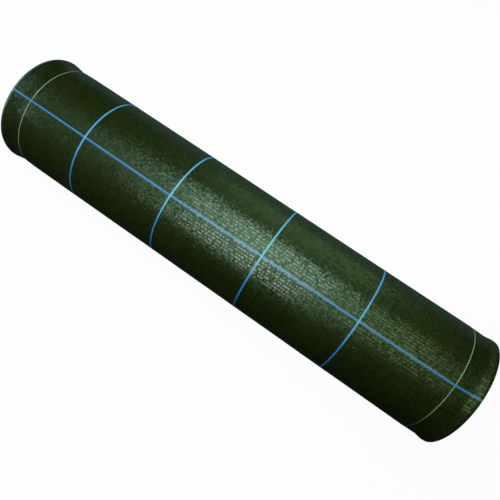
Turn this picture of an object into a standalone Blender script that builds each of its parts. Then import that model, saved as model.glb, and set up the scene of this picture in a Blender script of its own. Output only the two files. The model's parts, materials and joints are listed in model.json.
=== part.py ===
"""Roll of woven weed control sheet on a paper core, lying on its side.

X runs along the roll, the front faces -Y and the origin is on the ground, under the middle.
Angles go round the roll's axis from the top (+Z) towards the back (+Y). They grow along the
sheet towards its free end, so one value also says how far the sheet is wound.
"""

from math import acos, ceil, cos, degrees, pi, radians, sin, tau

import bmesh
import bpy
import numpy as np
from mathutils import Vector

mm = 0.001

# Winding
roll_radius = 112.8 * mm          # outer surface, at the angle that faces the viewer
sheet_width = 1010 * mm
facing_angle = radians(-10.6)
sheet_thickness = 1.1 * mm        # the outermost turn stands for the last few real layers
layer_gap = 0.45 * mm
flat_depth = 1.0 * mm             # the roll settles this far into its own underside

# Swollen edges of the winding, each distance measured from the sheet's edge
lip_rise = 1.2 * mm
edge_drop = 0.6 * mm
edge_length = 4 * mm
lip_length = 14 * mm
neck_drop = 1.5 * mm
neck_distance = 24 * mm
settle_distance = 60 * mm

# Paper core and the strip of adhesive tape that holds the sheet's first turn
core_bore = 50 * mm
core_wall = 4 * mm
core_proud = 5 * mm
core_chamfer = 0.6 * mm
start_tape_width = 25 * mm
start_tape_thickness = 0.3 * mm
start_tape_setback = 20 * mm

# Marker tapes woven into the sheet
marker_thickness = 0.3 * mm
marker_recess = 0.05 * mm
blue_warp_width = 4 * mm
blue_warp_pitch = 200 * mm
blue_warp_count = 4
blue_warp_shift = -28 * mm        # middle of the blue group, from the middle of the sheet
white_warp_width = 2 * mm
white_left_distance = 44 * mm
white_right_distance = 48 * mm
weft_width = 5 * mm
weft_pitch = 200 * mm
hop_ramp = 2 * mm                 # run in which a weft tape climbs over a warp tape
pocket_margin = 1 * mm            # sheet left at the end of a marker's pocket

# Free end of the sheet
free_end_past_line = 20 * mm
flap_length = 80 * mm
closing_tape_width = 48 * mm
closing_tape_thickness = 0.3 * mm
closing_tape_on_flap = 14 * mm
closing_tape_past_end = 26 * mm
closing_tape_ramp = 6 * mm
closing_tape_edge_distance = 130 * mm

# Fits and mesh density
seat_gap = 0.3 * mm
coarsest_step = radians(8)
core_sides = 48
shade_angle = radians(30)

turn_pitch = sheet_thickness + layer_gap
pocket_depth = marker_recess + marker_thickness + seat_gap
half_width = sheet_width / 2
core_radius = core_bore / 2 + core_wall
winding_bore_radius = core_radius + seat_gap

last_line_angle = facing_angle + weft_pitch / roll_radius
free_end_angle = last_line_angle + free_end_past_line / roll_radius
hinge_angle = free_end_angle - flap_length / roll_radius
winding_start_angle = hinge_angle - tau
gap_angle = seat_gap / roll_radius
margin_angle = pocket_margin / roll_radius
half_weft_angle = weft_width / 2 / roll_radius
half_weft_pocket_angle = half_weft_angle + gap_angle


def surface_radius(angle):
    """Outer radius of the wound sheet, which grows by one layer in each turn."""
    return roll_radius + turn_pitch * (angle - facing_angle) / tau


axis_height = surface_radius(-pi) - flat_depth
half_flat_angle = acos(axis_height / surface_radius(-pi))


edge_distances = (0, edge_length, lip_length, neck_distance, settle_distance)
edge_rises = (lip_rise - edge_drop, lip_rise, lip_rise, -neck_drop, 0)


def edge_rise(x):
    """How far the winding stands above its plain radius, near its two edges."""
    return float(np.interp(half_width - abs(x), edge_distances, edge_rises))


def sheet_point(angle, x, inset):
    """Point a given depth below the wound sheet's surface, seen from the roll's axis."""
    radius = surface_radius(angle) + edge_rise(x) - inset
    downwards = -cos(angle)
    if downwards > 0:
        radius = min(radius, (axis_height - inset) / downwards)
    return Vector((x, radius * sin(angle), radius * cos(angle)))


def profile_stations():
    """Places along X where the winding's outline turns."""
    left = [distance - half_width for distance in edge_distances]
    return left + [-x for x in reversed(left)]


def weft_line_angles():
    """Middle of each blue weft line of the outermost turn that the free end leaves bare."""
    angles = []
    angle = facing_angle
    bare_from = free_end_angle - tau + (closing_tape_past_end + weft_width) / roll_radius
    while angle > bare_from:
        angles.append(angle)
        angle -= weft_pitch / roll_radius
    return angles


def warp_tapes():
    """Colour, label, place along X and width of each marker tape that goes round the roll."""
    first = blue_warp_shift - blue_warp_pitch * (blue_warp_count - 1) / 2
    tapes = [("blue", str(number + 1), first + number * blue_warp_pitch, blue_warp_width)
             for number in range(blue_warp_count)]
    tapes.append(("white", "left", white_left_distance - half_width, white_warp_width))
    tapes.append(("white", "right", half_width - white_right_distance, white_warp_width))
    return tapes


def key_angles():
    """Angles of one turn that every piece of the winding has a station at."""
    keys = [hinge_angle, hinge_angle + gap_angle, hinge_angle - margin_angle,
            hinge_angle + gap_angle + margin_angle, free_end_angle,
            free_end_angle - margin_angle, pi - half_flat_angle, pi + half_flat_angle]
    for angle in weft_line_angles() + [last_line_angle]:
        keys.append(angle - half_weft_pocket_angle)
        keys.append(angle + half_weft_pocket_angle)
    return keys


def winding_stations(first, last):
    """Angles from first to last, stepped alike on each turn so that the layers stay apart."""
    shortest = gap_angle / 2
    marks = [first, last]
    for key in key_angles():
        turns = ceil((first - key) / tau)
        angle = key + turns * tau
        while angle < last:
            marks.append(angle)
            angle += tau
    marks.sort()
    kept = [marks[0]]
    for mark in marks[1:]:
        if mark - kept[-1] > shortest:
            kept.append(mark)
    kept[-1] = last
    stations = [kept[0]]
    for low, high in zip(kept, kept[1:]):
        steps = ceil((high - low) / coarsest_step)
        for step in range(1, steps + 1):
            stations.append(low + (high - low) * step / steps)
    return stations


def make_material(name, colour, roughness, metallic=0.0):
    material = bpy.data.materials.new(name)
    material.use_nodes = True
    shader = material.node_tree.nodes["Principled BSDF"]
    shader.inputs["Base Color"].default_value = (*colour, 1)
    shader.inputs["Roughness"].default_value = roughness
    shader.inputs["Metallic"].default_value = metallic
    material.diffuse_color = (*colour, 1)
    return material


def make_materials():
    return {
        "sheet": make_material("woven_green_sheet", (0.035, 0.060, 0.026), 0.55),
        "inner_sheet": make_material("wound_sheet_layers", (0.030, 0.050, 0.023), 0.65),
        "blue_tape": make_material("blue_marker_tape", (0.030, 0.260, 0.640), 0.45),
        "white_tape": make_material("pale_marker_tape", (0.420, 0.560, 0.450), 0.50),
        "core": make_material("brown_core_board", (0.330, 0.215, 0.115), 0.85),
        "start_tape": make_material("paper_start_tape", (0.620, 0.520, 0.340), 0.60),
        "closing_tape": make_material("clear_closing_tape", (0.550, 0.540, 0.480), 0.25),
    }


def make_empty(name, location, parent=None):
    empty = bpy.data.objects.new(name, None)
    empty.location = location
    empty.parent = parent
    bpy.context.collection.objects.link(empty)
    return empty


def finish_piece(bm, name, material, parent, origin):
    """Turn a mesh made about the roll's axis into an object whose origin is its parent's."""
    bmesh.ops.recalc_face_normals(bm, faces=bm.faces)
    bmesh.ops.translate(bm, verts=bm.verts, vec=-origin)
    mesh = bpy.data.meshes.new(name)
    bm.to_mesh(mesh)
    bm.free()
    mesh.shade_smooth()
    mesh.set_sharp_from_angle(angle=shade_angle)
    mesh.materials.append(material)
    piece = bpy.data.objects.new(name, mesh)
    piece.parent = parent
    bpy.context.collection.objects.link(piece)
    return piece


def sheet_block(angles, places, inner_inset, outer_inset):
    """Curved slab of the winding between two depths, and its outer faces."""
    bm = bmesh.new()
    winding = bm.verts.layers.float.new("winding_angle")
    rows = []
    for angle in angles:
        row = []
        for x in places:
            vert = bm.verts.new(sheet_point(angle, x, inner_inset(angle, x)))
            vert[winding] = angle
            row.append(vert)
        rows.append(row)
    faces = []
    for row, next_row in zip(rows, rows[1:]):
        for a, b, c, d in zip(row, row[1:], next_row[1:], next_row):
            faces.append(bm.faces.new((a, b, c, d)))
    raised = bmesh.ops.extrude_face_region(bm, geom=faces, use_keep_orig=True)["geom"]
    for vert in raised:
        if isinstance(vert, bmesh.types.BMVert):
            depth = outer_inset(vert[winding], vert.co.x)
            vert.co = sheet_point(vert[winding], vert.co.x, depth)
    outer_faces = [face for face in raised if isinstance(face, bmesh.types.BMFace)]
    return bm, outer_faces


def cut_across(bm, faces, x):
    """Cut new edges into the given faces only, at a place along X."""
    edges = list({edge for face in faces for edge in face.edges})
    verts = list({vert for face in faces for vert in face.verts})
    cut = bmesh.ops.bisect_plane(bm, geom=verts + edges + faces, dist=0,
                                 plane_co=(x, 0, 0), plane_no=(1, 0, 0))
    return [face for face in cut["geom"] if isinstance(face, bmesh.types.BMFace)]


def sink_pockets(bm, outer_faces, line_angles, first, last):
    """Sink the pockets of the warp tapes and of the weft lines into a strip of sheet."""
    winding = bm.verts.layers.float["winding_angle"]
    bands = [(x - width / 2 - seat_gap, x + width / 2 + seat_gap)
             for _, _, x, width in warp_tapes()]
    end_place = half_width - pocket_margin
    cuts = [place for band in bands for place in band] + [-end_place, end_place]
    for place in cuts:
        outer_faces = cut_across(bm, outer_faces, place)
    sunk = []
    for face in outer_faces:
        angle = sum(vert[winding] for vert in face.verts) / len(face.verts)
        x = face.calc_center_median().x
        on_warp = first < angle < last and any(low < x < high for low, high in bands)
        on_weft = abs(x) < end_place and any(
            abs(angle - line) < half_weft_pocket_angle for line in line_angles)
        if on_warp or on_weft:
            sunk.append(face)
    moved = bmesh.ops.extrude_face_region(bm, geom=sunk)["geom"]
    for vert in moved:
        if isinstance(vert, bmesh.types.BMVert):
            vert.co = sheet_point(vert[winding], vert.co.x, pocket_depth)
    bmesh.ops.delete(bm, geom=[face for face in sunk if face.is_valid], context="FACES_ONLY")


def make_strip(name, first, last, line_angles, material, parent, origin):
    """Stretch of the sheet with a pocket for each marker tape."""
    bm, outer_faces = sheet_block(winding_stations(first, last), profile_stations(),
                                  lambda angle, x: sheet_thickness, lambda angle, x: 0)
    sink_pockets(bm, outer_faces, line_angles, first + margin_angle, last - margin_angle)
    return finish_piece(bm, name, material, parent, origin)


def make_warp_tapes(word, first, last, materials, parent, origin):
    """Marker tapes that go round the roll, along one stretch of the sheet."""
    ends_in = margin_angle + gap_angle
    angles = [angle for angle in winding_stations(first, last)
              if first + ends_in < angle < last - ends_in]
    angles = [first + ends_in] + angles + [last - ends_in]
    for colour, label, place, width in warp_tapes():
        bm, _ = sheet_block(angles, (place - width / 2, place + width / 2),
                            lambda angle, x: marker_recess + marker_thickness,
                            lambda angle, x: marker_recess)
        finish_piece(bm, f"{colour}_warp_{word}_{label}", materials[f"{colour}_tape"],
                     parent, origin)


def hop_height(x):
    """How far a weft tape rises at a place along X, to pass over the warp tapes."""
    height = 0
    for _, _, place, width in warp_tapes():
        top = width / 2 + seat_gap
        share = np.interp(abs(x - place), (top, top + hop_ramp), (1, 0))
        height = max(height, share * (marker_thickness + seat_gap))
    return height


def make_weft_tape(name, angle, material, parent, origin):
    """Marker tape along the roll, which hops over each tape that goes round."""
    end_place = half_width - pocket_margin - seat_gap
    places = [place for place in profile_stations() if abs(place) < end_place]
    places += [-end_place, end_place]
    for _, _, middle, width in warp_tapes():
        top = width / 2 + seat_gap
        places += [middle - top - hop_ramp, middle - top, middle + top, middle + top + hop_ramp]
    bm, _ = sheet_block((angle - half_weft_angle, angle + half_weft_angle), sorted(places),
                        lambda angle, x: marker_recess + marker_thickness - hop_height(x),
                        lambda angle, x: marker_recess - hop_height(x))
    finish_piece(bm, name, material, parent, origin)


def make_closing_tape(name, place, material, parent, origin):
    """Adhesive strip that runs off the free end down onto the turn below."""
    first = free_end_angle - closing_tape_on_flap / roll_radius
    ramp_from = free_end_angle + gap_angle
    ramp_to = ramp_from + closing_tape_ramp / roll_radius
    last = free_end_angle + closing_tape_past_end / roll_radius
    above = winding_stations(hinge_angle + gap_angle, free_end_angle)
    below = [angle + tau for angle in winding_stations(winding_start_angle + gap_angle,
                                                       hinge_angle)]
    angles = [first] + [angle for angle in above if angle > first]
    angles += [ramp_from, ramp_to]
    angles += [angle for angle in below if ramp_to < angle < last] + [last]

    def underside(angle, x):
        drop = np.interp(angle, (ramp_from, ramp_to), (0, turn_pitch))
        return drop - seat_gap

    places = (place - closing_tape_width / 2, place + closing_tape_width / 2)
    bm, _ = sheet_block(angles, places, underside,
                        lambda angle, x: underside(angle, x) - closing_tape_thickness)
    finish_piece(bm, name, material, parent, origin)


def make_core(material, parent):
    """Spiral paper tube, a little longer than the sheet is wide."""
    end = half_width + core_proud
    bore = core_bore / 2
    outline = [(-end, bore + core_chamfer), (-end, core_radius - core_chamfer),
               (-end + core_chamfer, core_radius), (end - core_chamfer, core_radius),
               (end, core_radius - core_chamfer), (end, bore + core_chamfer),
               (end - core_chamfer, bore), (-end + core_chamfer, bore)]
    bm = bmesh.new()
    verts = [bm.verts.new((x, 0, radius)) for x, radius in outline]
    edges = [bm.edges.new((a, b)) for a, b in zip(verts, verts[1:] + verts[:1])]
    bmesh.ops.spin(bm, geom=verts + edges, cent=(0, 0, 0), axis=(1, 0, 0), angle=tau,
                   steps=core_sides, use_merge=True)
    finish_piece(bm, "core_tube", material, parent, Vector())


def start_tape_angles():
    """Stations across the start tape, which lies on top of the core."""
    half = start_tape_width / 2 / core_radius
    steps = ceil(2 * half / coarsest_step)
    return [half * (2 * step / steps - 1) for step in range(steps + 1)]


def make_start_tape(material, parent):
    """Adhesive strip between the core and the sheet's first turn."""
    end = half_width - start_tape_setback
    low = winding_bore_radius
    bm = bmesh.new()
    rows = [[bm.verts.new((x, low * sin(angle), low * cos(angle))) for x in (-end, end)]
            for angle in start_tape_angles()]
    faces = [bm.faces.new((*row, *reversed(following)))
             for row, following in zip(rows, rows[1:])]
    raised = bmesh.ops.extrude_face_region(bm, geom=faces, use_keep_orig=True)["geom"]
    stretch = (low + start_tape_thickness) / low
    for vert in raised:
        if isinstance(vert, bmesh.types.BMVert):
            vert.co.y *= stretch
            vert.co.z *= stretch
    finish_piece(bm, "core_start_tape", material, parent, Vector())


def bore_outline():
    """Bore of the winding round the core, with room for the start tape."""
    tape_angles = start_tape_angles()
    side = seat_gap / core_radius
    low = winding_bore_radius
    high = winding_bore_radius + start_tape_thickness + seat_gap
    outline = [(tape_angles[0] - side, high)]
    outline += [(angle, high) for angle in tape_angles]
    outline += [(tape_angles[-1] + side, high), (tape_angles[-1] + side, low)]
    rest_from = tape_angles[-1] + side
    rest = tau - 2 * rest_from
    steps = ceil(rest / coarsest_step)
    outline += [(rest_from + rest * step / steps, low) for step in range(1, steps + 1)]
    return [(radius * sin(angle), radius * cos(angle)) for angle, radius in outline]


def make_inner_turns(material, parent):
    """All the turns below the outermost one, as one plain body with a spiral outside."""
    inset = turn_pitch
    angles = winding_stations(winding_start_angle, hinge_angle)
    bm = bmesh.new()
    outer_rings = []
    bore_rings = []
    places = profile_stations()
    for x in places:
        outer_rings.append([bm.verts.new(sheet_point(angle, x, inset)) for angle in angles])
    for x in (places[0], places[-1]):
        bore_rings.append([bm.verts.new((x, y, z)) for y, z in bore_outline()])
    for rings in (outer_rings, bore_rings):
        for ring, following in zip(rings, rings[1:]):
            for a, b, c, d in zip(ring, ring[1:] + ring[:1],
                                  following[1:] + following[:1], following):
                bm.faces.new((a, b, c, d))
    for outer, bore in ((outer_rings[0], bore_rings[0]), (outer_rings[-1], bore_rings[-1])):
        loops = []
        for ring in (outer, bore):
            for a, b in zip(ring, ring[1:] + ring[:1]):
                loops.append(bm.edges.get((a, b)))
        bmesh.ops.triangle_fill(bm, edges=loops, use_beauty=True)
    finish_piece(bm, "inner_turns", material, parent, Vector())


def least_gap(pieces):
    """Least distance between points of the wound sheet that lie over half a turn apart."""
    points = []
    angles = []
    for piece in pieces:
        offset = piece.matrix_world.translation
        values = piece.data.attributes["winding_angle"].data
        for vert, value in zip(piece.data.vertices, values):
            points.append(vert.co + offset)
            angles.append(value.value)
    points = np.array(points)
    angles = np.array(angles)
    least = np.inf
    for point, angle in zip(points, angles):
        others = points[angles > angle + pi]
        if len(others):
            least = min(least, np.linalg.norm(others - point, axis=1).min())
    return least


def main():
    for old in list(bpy.data.objects):
        bpy.data.objects.remove(old)
    materials = make_materials()
    roll = make_empty("roll_axis", (0, 0, axis_height))
    pivot = sheet_point(hinge_angle + gap_angle / 2, 0, -lip_rise)
    hinge = make_empty("end_flap_hinge", pivot, roll)
    still = Vector()

    make_core(materials["core"], roll)
    make_start_tape(materials["start_tape"], roll)
    make_inner_turns(materials["inner_sheet"], roll)

    turn_from = winding_start_angle + gap_angle
    outer_turn = make_strip("outer_turn", turn_from, hinge_angle, weft_line_angles(),
                            materials["sheet"], roll, still)
    make_warp_tapes("tape", turn_from, hinge_angle, materials, roll, still)
    for number, angle in enumerate(weft_line_angles(), start=1):
        make_weft_tape(f"blue_weft_tape_{number}", angle, materials["blue_tape"], roll, still)

    flap_from = hinge_angle + gap_angle
    flap = make_strip("end_flap", flap_from, free_end_angle, [last_line_angle],
                      materials["sheet"], hinge, pivot)
    make_warp_tapes("end", flap_from, free_end_angle, materials, hinge, pivot)
    make_weft_tape("blue_weft_end", last_line_angle, materials["blue_tape"], hinge, pivot)
    closing_place = half_width - closing_tape_edge_distance
    for word, place in (("left", -closing_place), ("middle", 0), ("right", closing_place)):
        make_closing_tape(f"closing_tape_{word}", place, materials["closing_tape"],
                          hinge, pivot)

    bpy.context.view_layer.update()
    print(f"least gap of the winding to itself: {least_gap([outer_turn, flap]) / mm:.2f} mm")
    print(f"hinge at y {pivot.y:.5f}, z {axis_height + pivot.z:.5f}, "
          f"{degrees(hinge_angle):.1f} degrees; axis height {axis_height:.5f}")


main()
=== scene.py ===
"""Roll of woven weed control sheet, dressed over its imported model.

Lengths are in metres. Angles go round the roll's axis from the top (+Z) towards the
back (+Y). They grow along the sheet towards its free end, so one value also says how
far the sheet is wound.
"""

import json
from math import atan2, cos, pi, radians, sin, tau

import bmesh
import bpy
import numpy as np
from bpy.props import FloatProperty, FloatVectorProperty, PointerProperty
from mathutils import Matrix, Vector


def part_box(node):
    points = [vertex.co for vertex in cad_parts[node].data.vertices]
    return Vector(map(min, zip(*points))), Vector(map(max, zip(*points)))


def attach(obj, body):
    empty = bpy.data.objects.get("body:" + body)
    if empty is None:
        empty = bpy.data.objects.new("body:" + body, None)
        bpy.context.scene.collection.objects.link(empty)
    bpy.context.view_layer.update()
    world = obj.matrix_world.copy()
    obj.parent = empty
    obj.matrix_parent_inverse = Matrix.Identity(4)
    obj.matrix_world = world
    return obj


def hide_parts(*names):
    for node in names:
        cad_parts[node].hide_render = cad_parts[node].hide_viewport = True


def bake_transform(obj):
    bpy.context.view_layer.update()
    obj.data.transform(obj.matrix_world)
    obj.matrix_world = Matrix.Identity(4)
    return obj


bl_info = {
    "name": "Weed control roll",
    "version": (1, 0, 0),
    "blender": (4, 5, 0),
    "location": "3D View > Sidebar > Weed roll",
    "description": "Winds a roll of woven ground cover sheet on its paper core",
    "category": "Object",
}

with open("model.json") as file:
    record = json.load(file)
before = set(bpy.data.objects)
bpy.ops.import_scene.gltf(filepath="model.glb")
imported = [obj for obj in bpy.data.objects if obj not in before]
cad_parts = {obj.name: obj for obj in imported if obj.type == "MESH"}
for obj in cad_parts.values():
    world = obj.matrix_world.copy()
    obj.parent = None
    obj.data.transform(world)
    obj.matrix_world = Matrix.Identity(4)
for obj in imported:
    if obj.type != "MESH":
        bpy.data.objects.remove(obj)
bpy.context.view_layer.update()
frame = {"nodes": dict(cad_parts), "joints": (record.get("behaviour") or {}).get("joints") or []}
mm = 0.001


def node_middle(name):
    """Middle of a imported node's points."""
    verts = frame["nodes"][name].data.vertices
    return sum((vert.co for vert in verts), Vector()) / len(verts)


def middle_x(name):
    """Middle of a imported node's box along X."""
    low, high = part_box(name)
    return (low[0] + high[0]) / 2


def round_angle(point):
    """Angle of a point about the roll's axis."""
    return atan2(point[1], point[2] - axis_height)


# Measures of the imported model
core_low, core_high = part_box("core_tube")
axis_height = (core_low[2] + core_high[2]) / 2
core_radius = (core_high[2] - core_low[2]) / 2
core_end = core_high[0]
core_wall = 4 * mm
core_bevel = 0.7 * mm
sheet_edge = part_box("outer_turn")[1][0]
lip_rise = 1.2 * mm
roll_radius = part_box("outer_turn")[1][2] - axis_height - lip_rise
line_angle = round_angle(node_middle("blue_weft_tape_1"))
hinge_point = Vector(frame["joints"][0]["pos_m"])
hinge_angle = round_angle(hinge_point)
flap_length = 80 * mm
free_end_angle = hinge_angle + flap_length / roll_radius

# The outermost turn starts a little past the seam, one turn earlier, and ends at the seam
seam_angle = radians(50)
turn_start = seam_angle + radians(4) - tau
seam_row = 0.4 * mm / roll_radius

# Outline of the swollen ends: distance from the sheet's edge, and height above the roll
left_distances = (0, 12 * mm, 27 * mm, 62 * mm)
left_rises = (3.8 * mm, 1.7 * mm, -1.4 * mm, 0)
right_distances = (0, 6 * mm, 17 * mm, 50 * mm)
right_rises = (1.5 * mm, 1.1 * mm, -1.2 * mm, 0)
bend_softness = 3.5 * mm
swollen_length = 60 * mm

# The rims curl inwards: length of the curl, and its depth at each end
curl_length = 7 * mm
left_curl = 2.2 * mm
right_curl = 0.7 * mm

# Slip of the right end: start and length of the part that slips, mean, swing round the roll
slip_start = 0.30
slip_length = 0.20
slip_mean = 0.8 * mm
slip_swing = 3.0 * mm
slip_phase = 0.26

# Skew of the weft tapes: places along X, and how far round a tape has drifted there
skew_places = (-0.505, -0.128, 0.072, 0.272, 0.457, 0.505)
skew_angles = np.radians((-0.4, -0.4, 0.6, 1.2, 2.3, 4.2))

# Swells and hollows: height, waves round the roll, radians per metre along it, phase
swells = ((0.10 * mm, 2, 5.1, 0.7), (0.07 * mm, 3, -11.3, 2.1),
          (0.05 * mm, 5, 23.0, 4.0), (0.03 * mm, 9, -41.0, 1.3))

# Gap below the sheet, with room for the marker tapes
floor_gap = 0.20 * mm

# Rows of the outermost turn and the free end, and columns from the rims to the middle
turn_row = radians(2)
flap_row = radians(1.5)
rim_column = 0.7 * mm
swollen_column = 2 * mm
middle_column = 9 * mm

# Waves of the free end's cut: height, radians per metre, phase
cut_waves = ((0.35 * mm, 37, 1), (0.2 * mm, 113, 0))

# Wound layers: steps round the roll, gaps to the core and to the outermost turn
layer_steps = 72
core_gap = 0.3 * mm
layer_gap = 0.06 * mm

# Their ends: slow drift, jitter and ridge of each layer, and depth below the sheet's edge
layer_drift = 0.8 * mm
layer_jitter = 0.10 * mm
layer_ridge = 0.22 * mm
layer_recess = 0.9 * mm

# Marker tapes: profile (shares of half the width, drops), thickness, height, ribs, hop of a
# line over a ring, and gap from a line's end to the sheet's edge
tape_profile = np.array((-1, -0.86, -0.3, 0.3, 0.86, 1))
tape_drops = np.array((0.05, 0, 0, 0, 0, 0.05)) * mm
tape_thickness = 0.07 * mm
tape_lift = 0.12 * mm
rib_height = 0.03 * mm
hop_height = 0.10 * mm
hop_ramp = 2 * mm
line_inset = 0.3 * mm

# Closing strips: reach onto the free end and past it, grid, toothed cuts, thickness, height,
# ripple, and where and by how many layers they step down past the free end
strip_on_flap = 14 * mm
strip_past_end = 26 * mm
strip_row = 0.8 * mm
strip_columns = 39
strip_tooth = 0.5 * mm
strip_thickness = 0.06 * mm
strip_lift = 0.26 * mm
strip_ripple = 0.03 * mm
strip_step = (0.2 * mm, 3 * mm)
strip_drop = 1.15

# Marker tapes round the roll (piece, node on the turn, node on the free end) and along it
RINGS = [(f"blue_ring_{n}", f"blue_warp_tape_{n}", f"blue_warp_end_{n}") for n in (1, 2, 3, 4)]
RINGS += [(f"pale_ring_{side}", f"white_warp_tape_{side}", f"white_warp_end_{side}")
          for side in ("left", "right")]
LINES = [(f"blue_line_{n}", f"blue_weft_tape_{n}", "roll") for n in (1, 2, 3)]
LINES += [("blue_line_end", "blue_weft_end", "loose_end")]

# Lamps: name, place along X, place faced, lean from the zenith in degrees, distance,
# sizes along and across the roll, width of the beam in degrees, colour
LAMPS = (
    ("softbox", -0.09, -0.09, 12.0, 1.25, (0.70, 0.93), 180, (0.90, 1, 1.06)),
    ("front_softbox", -0.15, -0.28, -29.0, 1.25, (0.65, 0.90), 110, (0.90, 1, 1.04)),
    ("left_softbox", -0.75, -0.45, 0.0, 1.25, (0.50, 0.85), 140, (0.80, 1, 1.15)),
    ("right_softbox", 0.60, 0.40, 2.5, 1.25, (0.50, 1.60), 140, (0.86, 1, 0.58)),
    ("left_lamp", -2.00, -0.50, -15.0, 0.9, (0.50, 1.50), 180, (0.80, 1, 1)),
    ("end_lamp", 2.20, 0.50, 0.0, 0.0, (0.14, 0.14), 180, (1, 1, 1)),
    ("back_panel", 0.05, 0.05, 72.0, 1.9, (1.20, 1.60), 180, (0.75, 1, 0.62)),
)


def length(label, text, default, low, high):
    return FloatProperty(name=label, description=text, default=default, min=low, max=high,
                         precision=5, subtype="DISTANCE", unit="LENGTH")


def tint(label, text, default):
    return FloatVectorProperty(name=label, description=text, default=default, min=0, max=1,
                               size=3, subtype="COLOR")


def watts(label, text, default):
    return FloatProperty(name=label, description=f"Power of the {text}, in watts",
                         default=default, min=0, max=500)


class WeedRollSizes(bpy.types.PropertyGroup):
    """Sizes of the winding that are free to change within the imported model"""
    cloth_thickness: length("Sheet thickness", "Thickness of one layer of the woven sheet",
                            0.00036, 0.0001, 0.001)
    layer_pitch: length("Layer pitch", "How much the roll's radius grows in each turn",
                        0.0004, 0.0002, 0.0015)
    warp_pitch: length("Warp pitch", "Distance between the tapes round the roll",
                       0.0026, 0.001, 0.006)
    weft_pitch: length("Weft pitch", "Distance between the tapes along the roll",
                       0.0030, 0.001, 0.006)
    ring_width: length("Blue ring width", "Width of the blue tapes round the roll",
                       0.0032, 0.002, 0.01)
    line_width: length("Blue line width", "Width of the blue tapes along the roll",
                       0.0034, 0.002, 0.01)
    pale_width: length("Pale ring width", "Width of the pale tapes near the two ends",
                       0.0014, 0.001, 0.005)


class WeedRollColours(bpy.types.PropertyGroup):
    """Colours of the sheet, its marker tapes, the core and the adhesive tapes"""
    green: tint("Sheet", "Dark green of the woven tapes", (0.0072, 0.0108, 0.0010))
    pale_green: tint("Worn sheet", "Lighter green of rubbed and dusty tapes",
                     (0.0210, 0.0290, 0.0034))
    # Partly painted highlight: the cut edges' paler green, lightened for the light they catch.
    cut_edge_glint_green: tint("Cut edges", "Green of the sheet's cut edges at the roll's ends",
                    (0.150, 0.190, 0.090))
    # Painted highlight: teal of the glint on the left rim's heat-cut edge.
    rim_glint_green: tint("Melted edge", "Green of the sheet's heat-cut edge at the left",
                       (0.032, 0.078, 0.068))
    blue: tint("Blue tape", "Blue of the marker tapes", (0.024, 0.225, 0.580))
    # Painted light: the rings' paler blue on the top and deeper blue low at the back follow how
    # the light falls; the paler blue also shows where a ring crosses a line.
    crossing_and_lit_blue: tint("Faded blue tape", "Paler blue of the rings on the roll's top and back",
                   (0.085, 0.385, 0.580))
    back_lit_blue: tint("Blue tape at the back", "Deeper blue of the rings low at the back",
                    (0.055, 0.370, 0.850))
    pale: tint("Pale tape", "Green-white of the thin marker tapes", (0.560, 0.760, 0.500))
    board: tint("Core board", "Brown of the paper core", (0.330, 0.215, 0.115))
    clear_tape: tint("Clear tape", "Yellowed clear tape where it sticks", (0.46, 0.44, 0.34))
    bubbles: tint("Bubbles", "Milky air bubbles under the clear tape", (0.60, 0.58, 0.48))
    paper: tint("Paper tape", "Darker fibres of the paper tape", (0.50, 0.41, 0.26))
    pale_paper: tint("Pale paper tape", "Lighter fibres of the paper tape", (0.68, 0.58, 0.40))


class WeedRollStage(bpy.types.PropertyGroup):
    """Camera lens and lamp levels"""
    lens: FloatProperty(name="Lens", description="Focal length of the camera, in millimetres",
                        default=32.85, min=10, max=200)
    softbox_power: watts("Softbox", "soft lamp above the roll", 11.3)
    front_softbox_power: watts("Front softbox", "soft lamp above the roll's front", 2.9)
    left_softbox_power: watts("Left softbox", "soft lamp over the left half", 0.65)
    right_softbox_power: watts("Right softbox", "soft lamp over the right end", 1.9)
    left_lamp_power: watts("Left lamp", "soft lamp beyond the roll's left end", 10.0)
    end_lamp_power: watts("Right end lamp", "low lamp that faces the right end", 12.0)
    back_panel_power: watts("Back panel", "wide pale panel behind the roll", 5.8)
    world_level: FloatProperty(name="World level", default=0.010, min=0, max=2,
                               description="Brightness of the pale surroundings")


def sizes():
    return bpy.context.scene.weed_roll_sizes


def colours():
    return bpy.context.scene.weed_roll_colours


def stage_settings():
    return bpy.context.scene.weed_roll_stage


# Shape of the winding

def eased(share):
    """A share from 0 to 1 that starts and ends gently."""
    return share * share * (3 - 2 * share)


def softened(value, places, heights):
    """Reads a table whose bends are rounded off."""
    total = 0
    weights = 0
    for share in np.linspace(-2, 2, 9):
        weight = np.exp(-share * share / 2)
        total = total + weight * np.interp(value + share * bend_softness, places, heights)
        weights += weight
    return total / weights


def edge_rise(x):
    """Height of the swollen ends and their curled rims above the roll."""
    distance = sheet_edge - np.abs(x)
    rise = np.where(x < 0, softened(distance, left_distances, left_rises),
                    softened(distance, right_distances, right_rises))
    curl = np.clip(1 - distance / curl_length, 0, 1)
    return rise - np.where(x < 0, left_curl, right_curl) * curl * curl


def end_drift(angle, x):
    """The right end of the winding has slipped a little, more at the back than at the front."""
    reach = eased(np.clip((x - slip_start) / slip_length, 0, 1))
    return reach * (slip_mean + slip_swing * np.sin(angle + slip_phase))


def weft_skew(x):
    """Angle by which a weft tape has drifted at a place along X."""
    return np.interp(x, skew_places, skew_angles)


def softness(angle, x):
    """Slight swells and hollows that every layer shares."""
    return sum(height * np.sin(waves * angle + along * x + phase)
               for height, waves, along, phase in swells)


def surface_radius(angle):
    return roll_radius + sizes().layer_pitch * (angle - line_angle) / tau


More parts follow.
